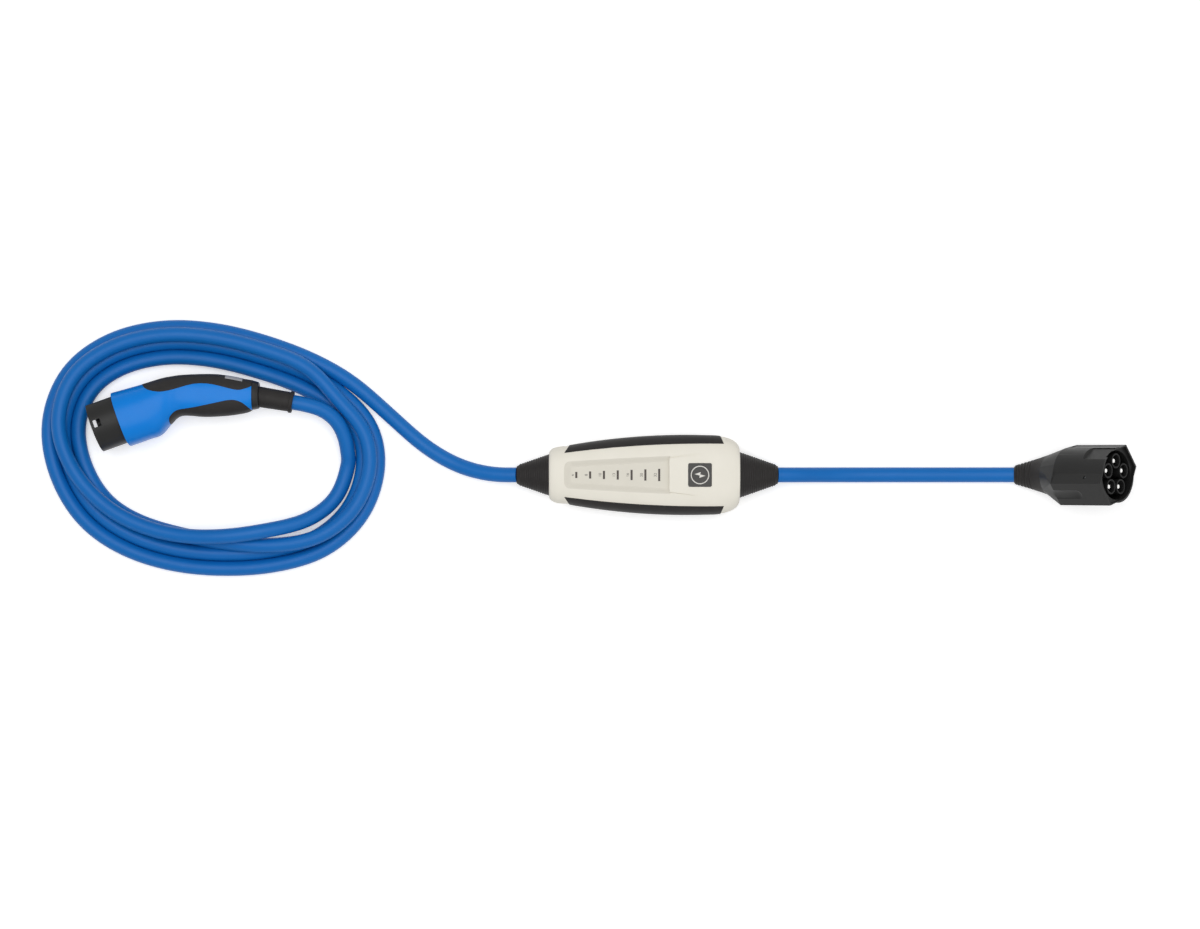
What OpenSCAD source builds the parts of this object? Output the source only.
// Portable EV charger: a control box between a coiled vehicle cable and a short supply cable.
// Millimetres, +Z up. The origin is on the floor under the middle of the box and its two boots.

/* [Control box] */
// Left end face of the case
case_x0 = -115; // [-125:1:-105]
// Right end face of the case
case_x1 = 108; // [100:1:118]
// Greatest width of the case
case_w = 93; // [86:1:104]
// Height of the case
case_h = 58; // [54:1:64]
// Height of the cables' line through the box, where the two shells part
split_z = 28; // [26:1:30]
// Thickness of the case walls
case_wall = 3.4; // [3:0.1:4]
// Thickness of the case floor
case_floor = 3.4; // [3:0.1:5]
// Half-width of the case at its left end
left_end_w = 24.5; // [23:0.5:26]
// Half-width of the case at its right end
right_end_w = 27.5; // [26:0.5:28]
// How far the left corners reach along the case
left_corner = 20; // [16:1:26]
// How far the right corners reach along the case
right_corner = 38; // [30:1:44]
// Place of the widest section
widest_x = 45; // [35:1:55]
// Radius of the long side curves, seen from above
side_r = 768; // [700:1:900]

/* [Bumpers and panel] */
// How far the side bumpers stand proud of the case
bumper_proud = 0.6; // [0.2:0.1:1]
// Depth of the bumpers' seats in the case
bumper_seat = 1.6; // [1:0.1:2]
// Lower edge of the side bumpers
bumper_z = 7; // [5:1:12]
// Level of the sunk panel's floor
panel_z = 53.6; // [53.2:0.1:54.4]
// Right end of the sunk panel, where the raised tongue starts
panel_x1 = 25.4; // [22:0.1:28]
// Thickness of the wall behind the sunk panel
panel_wall = 3; // [2.4:0.1:3.4]
// Height of the tongue's step above the case
tongue_rise = 1.4; // [0.8:0.1:2]
// Side of the square emblem plate
emblem_w = 27.5; // [22:0.5:30]
// Thickness of the emblem plate
emblem_t = 1.4; // [1:0.1:2]
// Place of the first status bar
bar_x = -83; // [-84:0.5:-82]
// Spacing of the status bars
bar_pitch = 16.1; // [15.6:0.1:16.3]
// Width of a status bar
bar_w = 2.2; // [1.6:0.1:2.8]
// Length of the shortest status bar
bar_len = 6.9; // [6:0.1:8]
// How much longer each next status bar is
bar_grow = 1.2; // [0.8:0.1:1.3]

/* [Boots of the box] */
// Reach of both boots from the middle of the part
boot_reach = 153; // [148:1:160]
// Radius of a boot's tip
boot_tip_r = 11.2; // [10:0.1:12]
// Spacing of the fine ribs
rib_pitch = 2.6; // [2:0.1:4]
// Depth of the grooves between ribs
rib_depth = 0.5; // [0.3:0.1:0.8]
// Radius of a boot's neck in the end wall
neck_r = 14; // [12:0.5:15]
// Radius of the flange that holds a boot inside
flange_r = 17.5; // [16:0.5:18]
// Thickness of that flange
flange_t = 4; // [3:0.5:5]

/* [Inside the box] */
// Half-width of the main board
board_w = 21; // [19:0.5:22]
// Thickness of both circuit boards
board_t = 1.6; // [1.2:0.1:2]
// Level of the main board's underside
board_z = 11; // [9:0.5:13]
// Height of the power relays
relay_h = 20; // [16:0.5:24]
// Outer radius of the current sensor's ring
sensor_r = 14.5; // [13:0.5:15]
// Hole radius of the current sensor's ring
sensor_hole_r = 9; // [8:0.5:10]
// Height of the terminal blocks
terminal_h = 15; // [12:0.5:18]
// Thickness of the light guide's plate
guide_t = 1.4; // [1:0.1:2]
// Radius of the shell screws' shanks
screw_r = 1.6; // [1.2:0.1:1.8]
// Radius of the shell screws' heads
screw_head_r = 3; // [2.6:0.1:3.2]
// Radius of the bosses for the shell screws
boss_r = 4.4; // [4.2:0.1:5]

/* [Cables] */
// Diameter of both cables
cable_d = 17; // [16:0.1:17]
// Spacing of turns that lie side by side
cable_pitch = 17.5; // [17.4:0.1:18]
// Sides of a cable's section
cable_sides = 10; // [8:1:12]

/* [Vehicle connector] */
// Height of the connector's middle plane
gun_z = 35; // [35:0.5:38]
// Direction of the nose, seen from above
nose_angle = 199.7; // [195:0.1:204]
// Length of the nose in front of the collar
nose_len = 32.5; // [30:0.5:35]
// Radius of the nose
nose_r = 31; // [30:0.1:31.5]
// Distance of the nose's flat side from its axis
nose_flat = 25.5; // [24.5:0.1:26.5]
// Wall of the nose
nose_wall = 2.6; // [2:0.1:3]
// Wall of the handle shells
handle_wall = 2.8; // [2.4:0.1:3.2]
// Depth of the grips in the handle shells
grip_seat = 1.5; // [1:0.1:1.8]
// Bore radius of a power contact
power_r = 3; // [2.5:0.1:3.2]
// Bore radius of a pilot contact
pilot_r = 1.5; // [1.2:0.1:1.7]
// Wall of a contact sleeve
sleeve_t = 1; // [0.8:0.1:1.2]
// Wall of a contact tower around its sleeve
tower_t = 2.2; // [1.6:0.1:2.4]
// Length of the contact towers
tower_len = 22; // [18:0.5:24]
// Radius of the connector's cable boot
gun_boot_r = 12.15; // [11.5:0.05:12.5]
// Angle of that boot, seen from above
gun_boot_angle = -9.3; // [-12:0.1:-7]

/* [Supply coupling] */
// Angle at which the coupling's face is raised
coupling_tilt = 42; // [36:1:45]
// Radius of the round part of the housing
housing_r = 32; // [31:0.1:33]
// Radius of the corners of the two flat wings
wing_r = 38.8; // [37:0.1:40]
// Half the angle between the corners of a wing
wing_half = 25; // [22:1:28]
// Direction of the upper wing, seen on the face
wing_angle = 40; // [36:1:44]
// Length of the housing
housing_len = 94; // [88:1:100]
// Length of its tapered rear
housing_taper = 25; // [20:1:30]
// Radius of the housing where the tail boot joins
tail_r = 24; // [22:0.5:26]
// Radius of the hollow behind the face
mouth_r = 28.6; // [28:0.1:29]
// Depth of the hollow
mouth_deep = 44; // [40:1:48]
// Diameter of the circle that the five pins stand on
pin_circle = 33; // [32:0.5:34]
// Radius of a pin
pin_r = 3; // [2.5:0.1:3.4]
// Outer radius of a pin's tube
tube_r = 8.75; // [8:0.05:9]
// Wall of a pin's tube
tube_wall = 1.9; // [1.5:0.1:2.4]
// How far the tubes' rims lie behind the face
tube_sunk = 3; // [2:0.5:5]
// How far the pin tips lie behind the tubes' rims
pin_sunk = 3; // [2:0.5:5]

/* [Fits] */
// Clearance between parts that slide together
fit = 0.1; // [0.05:0.01:0.15]
// Clearance of screw shanks in their holes
screw_fit = 0.06; // [0.04:0.01:0.1]

/* [Hidden] */
$fn = 48;
big = 900;

// Colours of the mouldings
cream = "#E5E1D6";
black = "#2E2D2C";
blue = "#2D84DE";
cable_blue = "#2470B8";
green = "#1E6B45";
steel = "#B9BCC0";
brass = "#C9A55A";
amber = "#3B3631";
grey = "#9A9A9E";

// Box curves
half_h = case_h - split_z;
half_h_base = split_z + 2;
left_end_h = 24.6;
right_end_h = 27;
section_power = 3;
corner_power = 2.5;

function mix(a, b, t) = a + (b - a) * t;

function ease(t) = let (u = min(1, max(0, t))) u * u * (3 - 2 * u);

function side_w(x) = case_w / 2 - pow(x - widest_x, 2) / (2 * side_r);

// The share of a corner curve reached at angle a, along it and across it
function corner_along(a) = 1 - pow(cos(a), 2 / corner_power);

function corner_across(a) = pow(sin(a), 2 / corner_power);

corner_steps = [0, 14, 32, 58, 90];
left_x1 = case_x0 + left_corner;
right_x0 = case_x1 - right_corner;
middle_steps = 4;

// Stations along the case: place, half-width, height above and depth below the split
case_stations = concat(
  [for (a = corner_steps)
    [case_x0 + left_corner * corner_along(a),
     mix(left_end_w, side_w(left_x1), corner_across(a)),
     mix(left_end_h, half_h, corner_across(a)),
     mix(left_end_h, half_h_base, corner_across(a))]],
  [for (i = [1 : middle_steps - 1]) let (x = mix(left_x1, right_x0, i / middle_steps))
    [x, side_w(x), half_h, half_h_base]],
  [for (k = [len(corner_steps) - 1 : -1 : 0]) let (a = corner_steps[k])
    [case_x1 - right_corner * corner_along(a),
     mix(right_end_w, side_w(right_x0), corner_across(a)),
     mix(right_end_h, half_h, corner_across(a)),
     mix(right_end_h, half_h_base, corner_across(a))]]);

function inset_x(x, d) = mix(case_x0 + d, case_x1 - d, (x - case_x0) / (case_x1 - case_x0));

function rounded(v, power) = sign(v) * pow(abs(v), 2 / power);

section_points = 24;

// One section of the case, inset by d on every side
function case_ring(s, d) = [for (k = [0 : section_points - 1]) let (a = 360 * k / section_points)
  [inset_x(s[0], d),
   (s[1] - d) * rounded(cos(a), section_power),
   split_z + (sin(a) < 0 ? s[3] - d : s[2] - d) * rounded(sin(a), section_power)]];

// Joins closed rings of points into one body, a convex slice at a time
module loft(rings) {
  n = len(rings[0]);
  for (i = [0 : len(rings) - 2])
    hull()
      polyhedron(concat(rings[i], rings[i + 1]),
        [[for (k = [n - 1 : -1 : 0]) k], [for (k = [0 : n - 1]) n + k]]);
}

module case_body(d) {
  loft([for (s = case_stations) case_ring(s, d)]);
}

// Outline of the case at the split, inset by d
function case_outline(d) = concat(
  [for (s = case_stations) [inset_x(s[0], d), s[1] - d]],
  [for (i = [len(case_stations) - 1 : -1 : 0])
    [inset_x(case_stations[i][0], d), d - case_stations[i][1]]]);

// Half-spaces above and below a level
module above(z) {
  translate([-big, -big, z])
    cube([2 * big, 2 * big, big]);
}

module below(z) {
  translate([-big, -big, z - big])
    cube([2 * big, 2 * big, big]);
}

// A cylinder along X from x0 to x1
module rod_x(x0, x1, r) {
  translate([x0, 0, 0])
    rotate([0, 90, 0])
      cylinder(r = r, h = x1 - x0);
}

// A round bar between two points
module rod(a, b, r) {
  v = b - a;
  translate(a)
    rotate([0, acos(v.z / norm(v)), atan2(v.y, v.x)])
      cylinder(r = r, h = norm(v));
}

// A box given by its middle in X and Y, its size and its lower level
module block(x, y, z, size) {
  translate([x - size.x / 2, y - size.y / 2, z])
    cube(size);
}

module rounded_square(w, r) {
  for (s = [[w, w - 2 * r], [w - 2 * r, w]])
    square(s, center = true);
  for (x = [-1, 1], y = [-1, 1])
    translate([x, y] * (w / 2 - r))
      circle(r);
}

// Side bumpers: the line of their inner edge and their slanted ends
bumper_edge = 36.6;
bumper_edge_x = 67;
bumper_edge_r = 1234;
bumper_x0 = -97;
bumper_x1 = 89;
bumper_slant_left = 5;
bumper_slant_right = 7;
bumper_steps = 6;

function bumper_line(x) = bumper_edge - pow(x - bumper_edge_x, 2) / (2 * bumper_edge_r);

module bumper_zone(gap) {
  inner = [for (i = [0 : bumper_steps])
    let (x = mix(bumper_x0 - gap, bumper_x1 + gap, i / bumper_steps)) [x, bumper_line(x) - gap]];
  translate([0, 0, bumper_z - gap])
    linear_extrude(case_h)
      polygon(concat(inner,
        [[bumper_x1 + gap - bumper_slant_right, case_w], [bumper_x0 - gap + bumper_slant_left, case_w]]));
}

module bumper_zones(gap) {
  for (side = [0, 1])
    mirror([0, side, 0])
      bumper_zone(gap);
}

// What the bumpers' seats take off the case
module bumper_seats() {
  difference() {
    bumper_zones(fit);
    case_body(bumper_seat + fit);
  }
}

// Sunk panel: its floor and its upper edge, narrower to the left
panel_x0 = -97;
panel_floor_x0 = -88;
panel_floor_w = [8.9, 15.7];
panel_edge_w = [16, 22.8];
panel_edge_z = 56.9;
panel_under = 1;

function taper_outline(x0, x1, w) = [[x0, -w[0]], [x1, -w[1]], [x1, w[1]], [x0, w[0]]];

module panel_recess() {
  hull() {
    translate([0, 0, panel_z])
      linear_extrude(fit)
        polygon(taper_outline(panel_floor_x0, panel_x1 + panel_under, panel_floor_w));
    translate([0, 0, panel_edge_z])
      linear_extrude(case_h)
        polygon(taper_outline(panel_x0, panel_x1 + panel_under, panel_edge_w));
  }
}

bar_count = 7;

module status_bars(gap) {
  for (i = [0 : bar_count - 1])
    translate([bar_x + i * bar_pitch, 0])
      square([bar_w + 2 * gap, bar_len + i * bar_grow + 2 * gap], center = true);
}

// Lamp board and light guide behind the panel
panel_back_z = panel_z - panel_wall;
guide_z = panel_back_z - guide_t;
guide_w = 9.5;
guide_x0 = bar_x - 6;
guide_x1 = bar_x + (bar_count - 1) * bar_pitch + 4;
lamp_h = 1.2;
lamp_z = guide_z - lamp_h - board_t;
lamp_x0 = -97;
lamp_x1 = 27;
lamp_post_x = [lamp_x0 + 4, lamp_x1 - 4];
lamp_post_r = 3;
lamp_screw_r = 1.1;
lamp_screw_head = 2.2;
lamp_screw_head_h = 1.6;
lamp_screw_len = 4;

// Tongue that carries the emblem plate
tongue_x1 = 78;
tongue_w = [20, 27];
tongue_steps = 6;
tongue_sink = 0.5;
emblem_x = 61;
emblem_r = 2;
emblem_z = 57;

module tongue() {
  intersection() {
    loft([for (i = [0 : tongue_steps]) let (t = i / tongue_steps, x = mix(panel_x1, tongue_x1, t))
      let (top = mix(half_h - tongue_sink, half_h + tongue_rise, 1 - ease(t)))
        case_ring([x, side_w(x), top, half_h_base], 0)]);
    translate([0, 0, split_z])
      linear_extrude(case_h)
        polygon(taper_outline(panel_x1, tongue_x1, tongue_w));
  }
}

// Shell screws, from below
boss_at = [[-82, 24.5], [0, 31.5], [70, 33]];
screw_seat_z = 8;
screw_head_h = 2.8;
screw_len = 32;
head_room = 0.3;

module at_bosses() {
  for (p = boss_at, side = [-1, 1])
    translate([p.x, side * p.y, 0])
      children();
}

// Main board on its posts
board_x0 = -76;
board_x1 = 70;
board_post_at = [[-58, 17], [-2, 17], [52, 17]];
board_post_r = 3.4;
board_screw_r = 1.3;
board_screw_head = 2.6;
board_screw_head_h = 1.7;
board_screw_len = 8;
board_top = board_z + board_t;

module at_board_posts() {
  for (p = board_post_at, side = [-1, 1])
    translate([p.x, side * p.y, 0])
      children();
}

// Cable clamps beside the boots
cable_r = cable_d / 2;
clamp_x = [case_x0 + 19, case_x1 - 19];
clamp_l = 10;
clamp_w = 36;
clamp_h = 13;
clamp_screw_y = 13.5;
clamp_screw_r = 1.9;
clamp_head_r = 3.4;
clamp_head_h = 2.6;
clamp_screw_len = 24;
end_reach = 7;
cable_end_x = [clamp_x[0] + end_reach, clamp_x[1] - end_reach];

module at_clamps() {
  for (x = clamp_x)
    translate([x, 0, 0])
      children();
}

module at_clamp_screws() {
  at_clamps()
    for (side = [-1, 1])
      translate([0, side * clamp_screw_y, 0])
        children();
}

// The hollow of the case above the split, with its bosses and the panel's back left standing
module upper_hollow() {
  difference() {
    intersection() {
      case_body(case_wall);
      above(split_z - fit);
    }
    at_bosses()
      cylinder(r = boss_r, h = case_h, $fn = 16);
    translate([0, 0, panel_back_z])
      linear_extrude(case_h)
        polygon(taper_outline(panel_x0 - panel_wall, panel_x1 + panel_wall, [for (w = panel_edge_w) w + 1]));
    for (x = lamp_post_x)
      translate([x, 0, lamp_z + board_t])
        cylinder(r = lamp_post_r, h = case_h, $fn = 16);
  }
}

// The hollow of the case below the split, with its bosses, board posts and cable saddles left standing
module lower_hollow() {
  difference() {
    intersection() {
      case_body(case_wall);
      above(case_floor);
      below(split_z + fit);
    }
    at_bosses()
      cylinder(r = boss_r, h = case_h, $fn = 16);
    at_board_posts()
      cylinder(r = board_post_r, h = board_z, $fn = 16);
    at_clamps()
      block(0, 0, 0, [clamp_l, clamp_w, split_z + 2 * fit]);
  }
}

// What the boots' necks and the cable ends take out of both shells
module cable_way() {
  translate([0, 0, split_z]) {
    rod_x(case_x0 - 1, case_x0 + case_wall + 1, neck_r + fit);
    rod_x(case_x1 - case_wall - 1, case_x1 + 1, neck_r + fit);
    for (x = clamp_x)
      rod_x(x - clamp_l, x + clamp_l, cable_r + fit, $fn = 32);
  }
}

// Seal between the shells, in a groove of the lower one
seal_w = 0.9;
seal_h = 1.6;

module seal_ring(gap) {
  middle = (case_wall + bumper_seat + fit) / 2;
  difference() {
    polygon(case_outline(middle - seal_w / 2 - gap));
    polygon(case_outline(middle + seal_w / 2 + gap));
  }
}

// The seal stops short of the boots
module seal_zone(gap) {
  difference() {
    translate([0, 0, split_z - seal_h - gap])
      linear_extrude(seal_h + 2 * gap)
        seal_ring(gap);
    translate([0, 0, split_z]) {
      rod_x(case_x0 - 1, case_x0 + case_wall + 1, neck_r + seal_w - gap);
      rod_x(case_x1 - case_wall - 1, case_x1 + 1, neck_r + seal_w - gap);
    }
  }
}

module upper_shell() {
  color(cream)
    difference() {
      union() {
        difference() {
          intersection() {
            case_body(0);
            above(split_z);
          }
          panel_recess();
        }
        tongue();
      }
      upper_hollow();
      bumper_seats();
      cable_way();
      translate([0, 0, guide_z])
        linear_extrude(case_h)
          status_bars(fit);
      translate([emblem_x, 0, emblem_z])
        linear_extrude(case_h)
          rounded_square(emblem_w + 2 * fit, emblem_r + fit, $fn = 16);
      at_bosses()
        translate([0, 0, split_z - 1])
          cylinder(r = screw_r + screw_fit, h = screw_seat_z + screw_len - split_z + 2, $fn = 20);
      for (x = lamp_post_x)
        translate([x, 0, lamp_z])
          cylinder(r = lamp_screw_r + screw_fit, h = board_t + lamp_screw_len, $fn = 20);
    }
}

module lower_shell() {
  color(cream)
    difference() {
      intersection() {
        case_body(0);
        above(0);
        below(split_z);
      }
      lower_hollow();
      bumper_seats();
      cable_way();
      seal_zone(fit / 2);
      at_bosses() {
        translate([0, 0, -1])
          cylinder(r = screw_head_r + head_room, h = screw_seat_z + 1, $fn = 20);
        cylinder(r = screw_r + screw_fit, h = case_h, $fn = 20);
      }
      at_board_posts()
        translate([0, 0, board_top - board_screw_len - 1])
          cylinder(r = board_screw_r + screw_fit, h = case_h, $fn = 20);
      at_clamp_screws()
        translate([0, 0, split_z + clamp_h - clamp_screw_len - 1])
          cylinder(r = clamp_screw_r + screw_fit, h = case_h, $fn = 20);
    }
}

module side_bumper(side) {
  color(black)
    difference() {
      intersection() {
        case_body(-bumper_proud);
        mirror([0, side, 0])
          bumper_zone(0);
      }
      case_body(bumper_seat);
    }
}

module rear_bumper() {
  side_bumper(0);
}

module front_bumper() {
  side_bumper(1);
}

module shell_gasket() {
  color(black)
    seal_zone(0);
}

module shell_screws() {
  color(steel)
    at_bosses() {
      translate([0, 0, screw_seat_z - screw_head_h])
        difference() {
          cylinder(r = screw_head_r, h = screw_head_h);
          translate([0, 0, -fit])
            cylinder(r = screw_r, h = screw_head_h / 2, $fn = 6);
        }
      translate([0, 0, screw_seat_z])
        cylinder(r = screw_r, h = screw_len);
    }
}

module light_guide() {
  color(amber) {
    translate([guide_x0, -guide_w, guide_z])
      cube([guide_x1 - guide_x0, 2 * guide_w, guide_t]);
    translate([0, 0, guide_z])
      linear_extrude(panel_z - guide_z)
        status_bars(0);
  }
}

lamp_size = [3.4, 2.8, lamp_h];

module lamp_board() {
  color(green) {
    difference() {
      translate([lamp_x0, -guide_w, lamp_z])
        cube([lamp_x1 - lamp_x0, 2 * guide_w, board_t]);
      for (x = lamp_post_x)
        translate([x, 0, lamp_z - 1])
          cylinder(r = lamp_screw_r + fit, h = board_t + 2);
    }
    for (i = [0 : bar_count - 1])
      block(bar_x + i * bar_pitch, 0, lamp_z + board_t, lamp_size);
  }
}

module lamp_screws() {
  color(steel)
    for (x = lamp_post_x)
      translate([x, 0, lamp_z]) {
        translate([0, 0, -lamp_screw_head_h])
          cylinder(r = lamp_screw_head, h = lamp_screw_head_h);
        cylinder(r = lamp_screw_r, h = board_t + lamp_screw_len - fit);
      }
}

module emblem_plate() {
  color("#4A4A4A")
    translate([emblem_x, 0, emblem_z])
      linear_extrude(emblem_t)
        rounded_square(emblem_w, emblem_r);
}

module main_board() {
  color(green)
    difference() {
      translate([board_x0, -board_w, board_z])
        cube([board_x1 - board_x0, 2 * board_w, board_t]);
      at_board_posts()
        translate([0, 0, board_z - 1])
          cylinder(r = board_screw_r + fit, h = board_t + 2);
    }
}

module board_screws() {
  color(steel)
    at_board_posts() {
      translate([0, 0, board_top])
        cylinder(r = board_screw_head, h = board_screw_head_h);
      translate([0, 0, board_top - board_screw_len])
        cylinder(r = board_screw_r, h = board_screw_len);
    }
}

relay_size = [29, 12.6, relay_h];
relay_x = [-14, 22];
relay_y = 6.8;

module power_relays() {
  color("#D8D4C8")
    for (x = relay_x, side = [-1, 1])
      block(x, side * relay_y, board_top, relay_size);
}

sensor_x = -46;
sensor_t = 12;
sensor_foot = 3;

module current_sensor() {
  color("#33363B") {
    translate([sensor_x - sensor_t / 2, 0, board_top + sensor_r])
      difference() {
        rod_x(0, sensor_t, sensor_r);
        rod_x(-1, sensor_t + 1, sensor_hole_r);
      }
    block(sensor_x, 0, board_top, [sensor_t, sensor_r, sensor_foot]);
  }
}

terminal_l = 10;
terminal_w = 40;
terminal_x = [board_x0 + 1 + terminal_l / 2, board_x1 - 1 - terminal_l / 2];
lead_r = 1.2;
lead_pitch = 7.4;
lead_start_pitch = 3.2;
lead_count = 5;
lead_z = board_top + terminal_h / 2;
lead_slant = 6;
terminal_hole_r = 1.6;
terminal_hole_deep = 2;

module terminal_blocks() {
  color("#3F7F4A")
    for (x = terminal_x)
      difference() {
        block(x, 0, board_top, [terminal_l, terminal_w, terminal_h]);
        for (i = [0 : lead_count - 1])
          translate([x, (i - (lead_count - 1) / 2) * lead_pitch, board_top + terminal_h - terminal_hole_deep])
            cylinder(r = terminal_hole_r, h = 2 * terminal_hole_deep);
      }
}

// Five insulated leads from a cable's end to its terminal block, flat at both ends
module lead_set(x0, x1) {
  intersection() {
    for (i = [0 : lead_count - 1]) {
      spread = i - (lead_count - 1) / 2;
      a = [x0, spread * lead_start_pitch, split_z];
      b = [x1, spread * lead_pitch, lead_z];
      v = (b - a) / norm(b - a);
      rod(a - lead_slant * v, b + lead_slant * v, lead_r);
    }
    translate([min(x0, x1), -big, 0])
      cube([abs(x1 - x0), 2 * big, big]);
  }
}

module phase_leads() {
  color("#3A3A3C") {
    lead_set(cable_end_x[0], terminal_x[0] - terminal_l / 2);
    lead_set(cable_end_x[1], terminal_x[1] + terminal_l / 2);
  }
}

// Profile of a boot, from its base plane at 0 to its tip at len, with fine ribs and a chamfered end
boot_chamfer = 2;
boot_plain = 3;

function boot_ribs(len, base_r) = [for (i = [0 : floor((len - 2 * boot_plain) / rib_pitch) - 1])
  let (y = boot_plain + i * rib_pitch, r = mix(base_r, boot_tip_r, y / len), w = rib_pitch / 3)
    each [[r, y], [r - rib_depth, y + w / 2], [r - rib_depth, y + 1.5 * w], [r - rib_depth / 6, y + 2 * w]]];

module boot_profile(len, base_r) {
  polygon(concat(
    [[cable_r + fit, 0], [base_r, 0]],
    boot_ribs(len, base_r),
    [[boot_tip_r, len - boot_chamfer], [boot_tip_r - boot_chamfer / 2, len], [cable_r + fit, len]]));
}

// A boot with its neck through the end wall and its flange inside
module box_boot(len, base_r) {
  rotate_extrude()
    boot_profile(len, base_r);
  difference() {
    union() {
      translate([0, 0, -case_wall - fit])
        cylinder(r = neck_r, h = case_wall + fit + 1);
      translate([0, 0, -case_wall - fit - flange_t])
        cylinder(r = flange_r, h = flange_t);
    }
    translate([0, 0, -case_wall - flange_t - 1])
      cylinder(r = cable_r + fit, h = case_wall + flange_t + 3);
  }
}

module vehicle_side_boot() {
  color(black)
    translate([case_x0, 0, split_z])
      rotate([0, -90, 0])
        box_boot(case_x0 + boot_reach, left_end_w - fit);
}

module supply_side_boot() {
  color(black)
    translate([case_x1, 0, split_z])
      rotate([0, 90, 0])
        box_boot(boot_reach - case_x1, right_end_w - 5 * fit);
}

module cable_ends() {
  color(cable_blue)
    translate([0, 0, split_z]) {
      rod_x(-boot_reach, cable_end_x[0], cable_r);
      rod_x(cable_end_x[1], boot_reach, cable_r);
    }
}

module cable_clamps() {
  color(black)
    difference() {
      at_clamps()
        block(0, 0, split_z, [clamp_l, clamp_w, clamp_h]);
      for (x = clamp_x)
        translate([0, 0, split_z])
          rod_x(x - clamp_l, x + clamp_l, cable_r + fit);
      at_clamp_screws()
        translate([0, 0, split_z - 1])
          cylinder(r = clamp_screw_r + fit, h = clamp_h + 2);
    }
}

module clamp_screws() {
  color(steel)
    at_clamp_screws() {
      translate([0, 0, split_z + clamp_h])
        cylinder(r = clamp_head_r, h = clamp_head_h);
      translate([0, 0, split_z + clamp_h - clamp_screw_len])
        cylinder(r = clamp_screw_r, h = clamp_screw_len);
    }
}

// Vehicle connector, lying on its side: middle of the collar's face, and the handle's outline in plan
collar_at = [-615.5, 64.9];
collar_half = 33;
collar_b = 35;
nose_dir = [cos(nose_angle), sin(nose_angle)];
nose_side = [-nose_dir.y, nose_dir.x];

// Each station: upper edge, lower edge, half-width out of plane
handle_stations = [
  [collar_at - collar_half * nose_side, collar_at + collar_half * nose_side, collar_b],
  [[-591, 106], [-581, 42], 34],
  [[-568, 113], [-568, 47], 31],
  [[-555, 115.5], [-557, 59.5], 27],
  [[-543, 117], [-544.5, 69], 24],
  [[-518, 118], [-518, 68], 22],
  [[-501, 117.5], [-501, 68.5], 21.5],
  [[-484.5, 115], [-484.5, 70], 21],
  [[-470, 112], [-468, 73], 20],
  [[-462, 110.8], [-462, 76], 18.8]];
handle_power = 2.6;
handle_points = 24;
last_station = len(handle_stations) - 1;

function handle_ring(s, d, shift) =
  let (mid = (s[0] + s[1]) / 2, arm = (s[0] - s[1]) / 2, a = norm(arm), u = arm / a, f = [u.y, -u.x])
    [for (k = [0 : handle_points - 1]) let (t = 360 * k / handle_points,
      p = mid + u * (a - d) * rounded(cos(t), handle_power) + f * shift)
        [p.x, p.y, gun_z + (s[2] - d) * rounded(sin(t), handle_power)]];

// The handle's body, inset by d, with both ends moved in by the same or a given depth
module handle_body(d, ends) {
  loft([for (i = [0 : last_station])
    handle_ring(handle_stations[i], d, i == 0 ? ends : i == last_station ? -ends : 0)]);
}

// Smooth line through points chosen by hand
function spline_at(a, b, c, d, t) =
  0.5 * (2 * b + (c - a) * t + (2 * a - 5 * b + 4 * c - d) * t * t + (3 * b - a - 3 * c + d) * t * t * t);

function spline(p, steps) = let (n = len(p) - 1) [for (i = [0 : n - 1], k = [0 : steps - 1])
  spline_at(p[max(0, i - 1)], p[i], p[i + 1], p[min(n, i + 2)], k / steps)];

grip_steps = 3;
grip_top_line = [[-594, 112], [-585, 101], [-570, 97], [-555, 99], [-530, 106], [-509, 106], [-481, 99.5],
  [-470, 100.5], [-461, 105], [-461, 114]];
grip_bottom_line = [[-556, 52], [-557.5, 64], [-554.5, 70.5], [-548, 75.5], [-538, 77.5], [-526, 79.5],
  [-507, 83.5], [-486, 87.5], [-474, 85], [-466, 79], [-461, 74]];
grip_top_far = [[-461, 130], [-600, 130]];
grip_bottom_far = [[-461, 44], [-556, 44]];

module grip_zone(line, far) {
  translate([0, 0, gun_z - big / 2])
    linear_extrude(big)
      polygon(concat(spline(line, grip_steps), far));
}

module grip_zones() {
  grip_zone(grip_top_line, grip_top_far);
  grip_zone(grip_bottom_line, grip_bottom_far);
}

module grip(line, far) {
  color(black)
    intersection() {
      difference() {
        handle_body(0, 0);
        handle_body(grip_seat, -1);
      }
      grip_zone(line, far);
    }
}

module grip_top() {
  difference() {
    grip(grip_top_line, grip_top_far);
    label_zone(fit);
  }
}

module grip_bottom() {
  grip(grip_bottom_line, grip_bottom_far);
}

// Strip let into the top grip
label_x = [-493, -473];
label_deep = 1;
label_z = [2, 14.5];
label_from_y = 90;

module label_zone(gap) {
  intersection() {
    translate([label_x[0] - gap, label_from_y, gun_z + label_z[0] - gap])
      cube([label_x[1] - label_x[0] + 2 * gap, big, label_z[1] - label_z[0] + 2 * gap]);
    difference() {
      handle_body(-fit, 0);
      handle_body(label_deep + gap - fit, -1);
    }
  }
}

module label_plate() {
  color(grey)
    difference() {
      intersection() {
        label_zone(0);
        handle_body(0, 0);
      }
      handle_body(label_deep - fit, -1);
    }
}

// Puts children on the nose's axis, with X pointing out of the connector
nose_offset = -2.8;

module on_nose() {
  translate([collar_at.x + nose_offset * nose_side.x, collar_at.y + nose_offset * nose_side.y, gun_z])
    rotate([0, 0, nose_angle])
      children();
}

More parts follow.
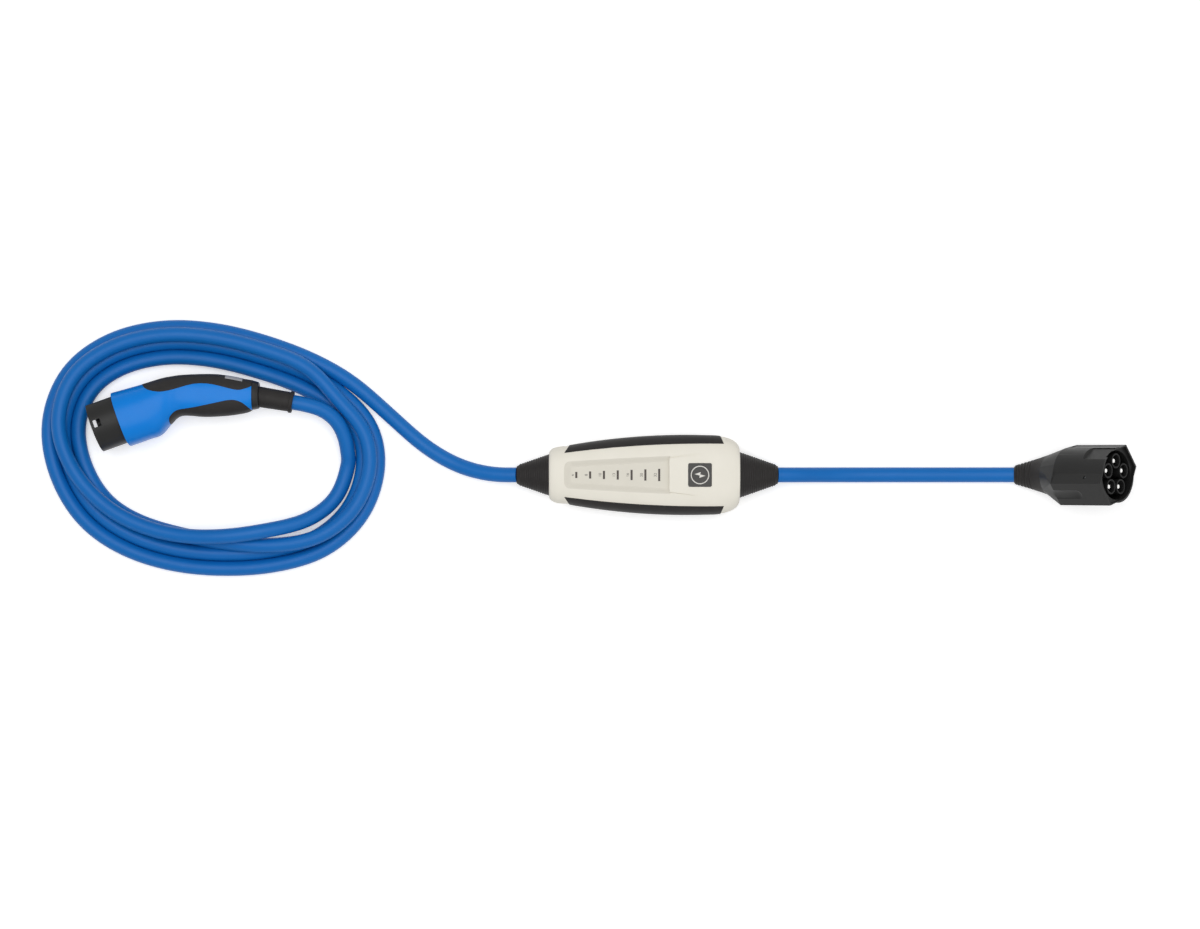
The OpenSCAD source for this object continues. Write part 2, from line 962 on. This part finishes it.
// A flat-sided round outline, and a bar of it along the nose's axis
module nose_outline(d) {
  intersection() {
    circle(nose_r - d);
    translate([-big / 2, d - nose_flat])
      square(big);
  }
}

module nose_bar(x0, x1, d) {
  translate([x0, 0, 0])
    rotate([0, 90, 0])
      linear_extrude(x1 - x0)
        nose_outline(d);
}

spigot_len = 12;
spigot_in = 4;
collar_wall = 4;
carrier_t = 6;
carrier_x = 3;
slot_size = 8.5;
slot_x = 24.8;
slot_y = -1.3;

module nose_shroud() {
  color(black)
    on_nose()
      difference() {
        union() {
          nose_bar(0, nose_len, 0);
          nose_bar(-spigot_len, 0, spigot_in);
        }
        nose_bar(carrier_x, nose_len + 1, nose_wall);
        nose_bar(-spigot_len - 1, carrier_x + 1, spigot_in + nose_wall);
        block(slot_x, slot_y, 0, [slot_size, slot_size, big / 2]);
      }
}

// Contacts: place across the nose (downwards, and away from the flat side)
power_at = [[0, 0], [-16, 0], [16, 0], [-9, 14.5], [9, 14.5]];
pilot_at = [[-7.5, -14], [7.5, -14]];
sleeve_back = 8;
sleeve_lip = 1;

module at_contacts(places) {
  for (p = places)
    translate([0, p[1], -p[0]])
      children();
}

module towers(places, r) {
  at_contacts(places)
    rod_x(carrier_x + carrier_t - 1, carrier_x + tower_len, r + sleeve_t + tower_t);
}

module sleeve_holes(places, r) {
  at_contacts(places) {
    rod_x(carrier_x - 1, carrier_x + tower_len - sleeve_lip, r + sleeve_t + fit);
    rod_x(carrier_x, carrier_x + tower_len + 1, r + 2 * fit);
  }
}

module contact_carrier() {
  color("#3C3B3A")
    on_nose()
      difference() {
        union() {
          nose_bar(carrier_x, carrier_x + carrier_t, nose_wall + fit);
          towers(power_at, power_r);
          towers(pilot_at, pilot_r);
        }
        sleeve_holes(power_at, power_r);
        sleeve_holes(pilot_at, pilot_r);
      }
}

module sleeves(places, r) {
  on_nose()
    at_contacts(places)
      difference() {
        rod_x(carrier_x - sleeve_back, carrier_x + tower_len - sleeve_lip, r + sleeve_t);
        rod_x(carrier_x, carrier_x + tower_len, r);
      }
}

module power_contacts() {
  color(brass)
    sleeves(power_at, power_r);
}

module pilot_contacts() {
  color(brass)
    sleeves(pilot_at, pilot_r);
}

// Shell halves of the handle, parted at the middle plane
handle_boss_at = [[-575, 92], [-497, 78]];
handle_boss_r = 4.2;
handle_screw_r = 1.5;
handle_screw_head = 2.8;
handle_screw_head_h = 2.4;
handle_screw_seat = 8;

module at_handle_bosses() {
  for (p = handle_boss_at)
    translate([p.x, p.y, gun_z])
      children();
}

module handle_hollow() {
  difference() {
    handle_body(handle_wall, collar_wall);
    at_handle_bosses()
      cylinder(r = handle_boss_r, h = big, center = true, $fn = 24);
  }
}

// Puts children on the cable's line through the handle's end, with X pointing out of it
module gun_cable_line() {
  translate([gun_boot_at.x, gun_boot_at.y, gun_z])
    rotate([0, 0, gun_boot_angle])
      children();
}

gun_boot_at = [-454, 91.4];
gun_boot_len = 39.8;
gun_core_in = 42;

module handle_shell(up) {
  color(blue)
    difference() {
      intersection() {
        handle_body(0, 0);
        if (up)
          above(gun_z);
        else
          below(gun_z);
      }
      handle_hollow();
      difference() {
        grip_zones();
        handle_body(grip_seat + fit, -1);
      }
      on_nose()
        nose_bar(-spigot_len, 1, spigot_in - fit);
      gun_cable_line()
        rod_x(-gun_core_in, 0, cable_r + fit);
      at_handle_bosses() {
        cylinder(r = handle_screw_r + screw_fit, h = 2 * handle_screw_seat, center = true, $fn = 20);
        translate([0, 0, -handle_screw_seat - big])
          cylinder(r = handle_screw_head + head_room, h = big, $fn = 24);
      }
    }
}

module handle_shell_upper() {
  handle_shell(true);
}

module handle_shell_lower() {
  handle_shell(false);
}

module handle_screws() {
  color(steel)
    at_handle_bosses() {
      translate([0, 0, -handle_screw_seat])
        cylinder(r = handle_screw_r, h = 2 * handle_screw_seat - 1);
      translate([0, 0, -handle_screw_seat - handle_screw_head_h])
        cylinder(r = handle_screw_head, h = handle_screw_head_h);
    }
}

// Black cap that closes the handle round its cable
cap_end = [[-454.3, 108.5], [-454.3, 77.5], 16.5];

module handle_end_cap() {
  color(black)
    difference() {
      hull()
        loft([handle_ring(handle_stations[last_station], 0, fit), handle_ring(cap_end, 0, 0)]);
      gun_cable_line()
        rod_x(-gun_core_in, gun_boot_len, cable_r + fit);
    }
}

boot_ring_l = 4;
boot_ring_t = 0.7;
boot_start = -5;
boot_draw = 0.6;
boot_blend = 1.5;
boot_ring_edge = 0.8;

// The boot stands square on the cap's flat end, although its cable leaves at an angle
module gun_boot() {
  color(black)
    difference() {
      gun_cable_line()
        rotate([0, 90, 0])
          rotate_extrude()
            polygon([[cable_r + fit, boot_start], [gun_boot_r, boot_start],
              [gun_boot_r - boot_draw, gun_boot_len - boot_ring_l - boot_blend],
              [gun_boot_r - boot_draw, gun_boot_len - boot_ring_l],
              [gun_boot_r + boot_ring_t, gun_boot_len - boot_ring_l],
              [gun_boot_r + boot_ring_t, gun_boot_len - boot_ring_edge],
              [gun_boot_r, gun_boot_len],
              [cable_r + fit, gun_boot_len]]);
      translate([cap_end[0].x + fit - big, gun_boot_at.y - big / 2, gun_z - big / 2])
        cube(big);
    }
}

module gun_cable_core() {
  color(cable_blue)
    gun_cable_line()
      rod_x(-gun_core_in, gun_boot_len, cable_r);
}

gun_clamp_x = -30;
gun_clamp_l = 10;
gun_clamp_w = 24;
gun_clamp_h = 26;

module handle_clamp() {
  color(grey)
    gun_cable_line()
      difference() {
        block(gun_clamp_x, 0, -gun_clamp_h / 2, [gun_clamp_l, gun_clamp_w, gun_clamp_h]);
        rod_x(gun_clamp_x - gun_clamp_l, gun_clamp_x + gun_clamp_l, cable_r + fit);
      }
}

// Supply coupling: a tail boot that curves up from the floor, then a straight housing
tail_x = 432;
tail_z = 11.4;
tail_start_r = 11;
tail_start_angle = 9;
tail_len = 46;
tail_steps = 18;
tail_points = 24;
tail_groove = 0.7;
tail_lip = 1.6;
tail_ribs_end = 12;

function tail_angle(t) = mix(tail_start_angle, coupling_tilt, t);

// The tail's middle line, summed from short chords
function tail_at(i) = i == 0 ? [tail_x, 0, tail_z] :
  let (a = tail_angle((i - 0.5) / tail_steps)) tail_at(i - 1) + tail_len / tail_steps * [cos(a), 0, sin(a)];

function tail_ring(i) =
  let (t = i / tail_steps, c = tail_at(i), a = tail_angle(t),
    ribbed = i > 1 && i < tail_ribs_end && i % 2 == 0 ? tail_groove : 0,
    r = mix(tail_start_r, tail_r, t) - ribbed - (i == 0 ? tail_lip : 0))
      [for (k = [0 : tail_points - 1]) let (q = 360 * k / tail_points)
        c + r * [-sin(a) * sin(q), cos(q), cos(a) * sin(q)]];

coupling_at = tail_at(tail_steps);

// Puts children on the coupling's axis, with X pointing out of its face
module on_coupling() {
  translate(coupling_at)
    rotate([0, -coupling_tilt, 0])
      children();
}

module coupling_tail() {
  color(black)
    loft([for (i = [0 : tail_steps]) tail_ring(i)]);
}

// One wing, inset by d: its two corners and the points inside the round part where its sides end
wing_root = 0.93;

function ray(r, angle) = r * [cos(angle), sin(angle)];

module wing(angle, d) {
  reach = acos(housing_r / wing_r);
  polygon([[0, 0],
    ray(housing_r * wing_root, angle - wing_half - reach), ray(wing_r - d, angle - wing_half),
    ray(wing_r - d, angle + wing_half), ray(housing_r * wing_root, angle + wing_half + reach)]);
}

module housing_outline(d) {
  circle(housing_r - d);
  wing(wing_angle, d);
  wing(wing_angle + 180, d);
}

module along_x(x0, x1) {
  translate([x0, 0, 0])
    rotate([0, 90, 0])
      linear_extrude(x1 - x0)
        children();
}

// Thin rim round the face: its wall, and how deep the ledge inside it lies
rim_t = 2.4;
rim_deep = tube_sunk;

// Keyway at the upper front of the housing, with a sloped rear end
key_angle = 33;
key_w = 24;
key_deep = 3.2;
key_len = 30;
key_slope = 14;
key_top = 20;

module keyway() {
  rotate([key_angle - 90, 0, 0])
    translate([0, 0, housing_r - key_deep])
      rotate([90, 0, 0])
        linear_extrude(key_w, center = true)
          polygon([[housing_len - key_len, 0], [housing_len + 1, 0], [housing_len + 1, key_top],
            [housing_len - key_len - key_slope, key_top]]);
}

// Long hollow in the flat of each wing, round at its front end
scallop_r = 14;
scallop_deep = 1.6;
scallop_x = [10, 56];

module scallops() {
  for (side = [0, 180])
    rotate([wing_angle + side, 0, 0])
      translate([0, 0, wing_r * cos(wing_half) + scallop_r - scallop_deep]) {
        rod_x(scallop_x[0], scallop_x[1], scallop_r);
        translate([scallop_x[1], 0, 0])
          sphere(scallop_r);
      }
}

side_screw_x = 70;
side_screw_r = 1.6;
side_screw_y = -3;
side_screw_gap = 1;
side_screw_sunk = 0.6;

module at_side_screw() {
  translate([side_screw_x, side_screw_y, 0])
    children();
}

module coupling_housing() {
  color(black)
    on_coupling()
      difference() {
        union() {
          hull() {
            along_x(0, fit)
              circle(tail_r, $fn = 32);
            along_x(housing_taper - fit, housing_taper + 1)
              housing_outline(fit, $fn = 32);
          }
          along_x(housing_taper, housing_len)
            housing_outline(0);
        }
        rod_x(housing_len - mouth_deep, housing_len + 1, mouth_r);
        along_x(housing_len - rim_deep, housing_len + 1)
          housing_outline(rim_t);
        keyway();
        scallops();
        at_side_screw()
          cylinder(r = side_screw_r + screw_fit, h = big);
      }
}

insert_back = housing_len - mouth_deep;
insert_t = 14;
tube_end = housing_len - tube_sunk;
pin_tip = tube_end - pin_sunk;
pin_root_r = pin_r + 0.8;
pin_count = 5;

module at_pins() {
  for (i = [0 : pin_count - 1])
    rotate([i * 360 / pin_count, 0, 0])
      translate([0, pin_circle / 2, 0])
        children();
}

seal_wire = 1.3;
seal_x = insert_back + insert_t / 2;

module pin_insert() {
  color("#2A2929")
    on_coupling()
      difference() {
        union() {
          rod_x(insert_back, insert_back + insert_t, mouth_r - fit);
          at_pins()
            rod_x(insert_back + insert_t - 1, tube_end, tube_r);
        }
        at_pins() {
          rod_x(insert_back - 1, tube_end, pin_root_r + screw_fit);
          rod_x(insert_back + insert_t, tube_end + 1, tube_r - tube_wall);
        }
        translate([seal_x, 0, 0])
          rotate([0, 90, 0])
            rotate_extrude()
              translate([mouth_r - 2 * seal_wire - fit, -seal_wire - fit])
                square([3 * seal_wire, 2 * (seal_wire + fit)]);
      }
}

module coupling_seal() {
  color("#B5462C")
    on_coupling()
      translate([seal_x, 0, 0])
        rotate([0, 90, 0])
          rotate_extrude()
            translate([mouth_r - seal_wire - fit / 2, 0])
              circle(seal_wire);
}

module supply_pins() {
  color(steel)
    on_coupling()
      at_pins() {
        rod_x(insert_back, insert_back + insert_t, pin_root_r);
        rod_x(insert_back + insert_t - 1, pin_tip, pin_r);
      }
}

module side_screw() {
  color("#1B1B1B")
    on_coupling()
      at_side_screw()
        translate([0, 0, mouth_r + side_screw_gap])
          cylinder(r = side_screw_r, h = housing_r - mouth_r - side_screw_gap - side_screw_sunk);
}

// Mean loop of the coil in plan, clockwise from its right-hand side
coil_loop = [
  [-334, 8], [-350, -38], [-388, -73], [-441, -89], [-497, -93], [-554, -88],
  [-608, -71], [-651, -41], [-679, 6], [-687.5, 60], [-668, 111], [-624, 143],
  [-568, 156], [-511, 153], [-457, 140], [-405, 117], [-367, 85], [-342, 48]];
loop_n = len(coil_loop);

// Each turn's lane, in pitches outward from the mean loop, and its level above the floor, in pitches
turn_lanes = [
  [-1.05, -1.1, -1.3, -1.4, -1.2, -1, -0.9, -0.75, -0.25, 0.25, 0.5, 0.5, 0.5, 0.5, 0.5, 0.65, 0.3, 0.6],
  [0.5, 0.35, 0.05, -0.35, -0.8, -1.05, -1.05, -1, -1, -1, -1, -1, -1, -1, -1, -0.75, -0.25, 0.1],
  [0, 0, 0, 0, 0, 0, 0, 0, 0, 0, 0, 0, 0, 0, 0, 0.25, 0.75, 1.1],
  [1, 1, 1, 1, 1, 1, 1, 1, 1, 1, 1, 1, 1, 1, 1]];
turn_levels = [
  [0.1, 0.15, 0.8, 1.5, 1.7, 1.2, 1, 0.97, 0.98, 0.97, 0.88, 0.88, 0.88, 0.88, 0.92, 1, 1, 0.9],
  [0.9, 0.96, 1.02, 0.98, 0.68, 0, 0, 0, 0, 0, 0, 0, 0, 0, 0, 0, 0, 0],
  [for (i = [1 : loop_n]) 0],
  [for (i = [1 : loop_n]) 0]];

// Points of one turn, set out from the mean loop along its outward direction
function coil_point(turn, i) =
  let (a = coil_loop[(i + loop_n - 1) % loop_n], b = coil_loop[i], c = coil_loop[(i + 1) % loop_n],
    t = (c - a) / norm(c - a), p = b + turn_lanes[turn][i] * cable_pitch * [-t.y, t.x])
      [p.x, p.y, cable_r + turn_levels[turn][i] * cable_pitch];

// From the connector's boot down to the coil, and from the coil to the box
gun_boot_end = [-414.7, 84.97, gun_z];
coil_lead_in = [gun_boot_end, [-399, 82, 34.8], [-380, 76, 32], [-364.5, 63.5, 28],
  [-355.5, 46, 23], [-352, 27, 17]];
coil_lead_out = [[-396, 136, cable_r], [-348, 109, cable_r], [-304, 71, cable_r],
  [-262, 34, cable_r], [-222, 11, 12], [-184, 1, 22.5], [-boot_reach, 0, split_z]];
vehicle_route = concat(
  coil_lead_in,
  [for (turn = [0 : len(turn_lanes) - 1], i = [0 : len(turn_lanes[turn]) - 1]) coil_point(turn, i)],
  coil_lead_out);
supply_route = [[boot_reach, 0, split_z], [180, 0, 24.5], [216, 0, 13.5], [252, 0, 8.8], [300, 0, cable_r],
  [360, 0, cable_r], [402, 0, 8.9], [tail_x, 0, tail_z]];

// Direction of a route at one of its points, given at both ends
function route_dir(p, i, first, last) = i == 0 ? first : i == len(p) - 1 ? last :
  let (a = (p[i] - p[i - 1]) / norm(p[i] - p[i - 1]), b = (p[i + 1] - p[i]) / norm(p[i + 1] - p[i]))
    (a + b) / norm(a + b);

function route_ring(c, d) =
  let (s = cross([0, 0, 1], d) / norm(cross([0, 0, 1], d)), u = cross(d, s))
    [for (k = [0 : cable_sides - 1]) let (q = 360 * (k + 0.5) / cable_sides)
      c + cable_r * (s * cos(q) + u * sin(q))];

// A cable as one closed tube along its route
module cable(route, first, last) {
  n = len(route);
  m = cable_sides;
  rings = [for (i = [0 : n - 1]) each route_ring(route[i], route_dir(route, i, first, last))];
  sides = [for (i = [0 : n - 2], k = [0 : m - 1])
    each [[i * m + k, (i + 1) * m + k, (i + 1) * m + (k + 1) % m],
          [i * m + k, (i + 1) * m + (k + 1) % m, i * m + (k + 1) % m]]];
  color(cable_blue)
    polyhedron(rings, concat(sides,
      [[for (k = [0 : m - 1]) k], [for (k = [m - 1 : -1 : 0]) (n - 1) * m + k]]));
}

module vehicle_cable() {
  cable(vehicle_route, [cos(gun_boot_angle), sin(gun_boot_angle), 0], [1, 0, 0]);
}

module supply_cable() {
  cable(supply_route, [1, 0, 0], [cos(tail_start_angle), 0, sin(tail_start_angle)]);
}

upper_shell();
lower_shell();
rear_bumper();
front_bumper();
shell_gasket();
shell_screws();
light_guide();
lamp_board();
lamp_screws();
emblem_plate();
main_board();
board_screws();
power_relays();
current_sensor();
terminal_blocks();
phase_leads();
vehicle_side_boot();
supply_side_boot();
cable_ends();
cable_clamps();
clamp_screws();
nose_shroud();
contact_carrier();
power_contacts();
pilot_contacts();
handle_shell_upper();
handle_shell_lower();
grip_top();
grip_bottom();
label_plate();
handle_screws();
handle_end_cap();
gun_boot();
gun_cable_core();
handle_clamp();
coupling_tail();
coupling_housing();
pin_insert();
supply_pins();
coupling_seal();
side_screw();
vehicle_cable();
supply_cable();
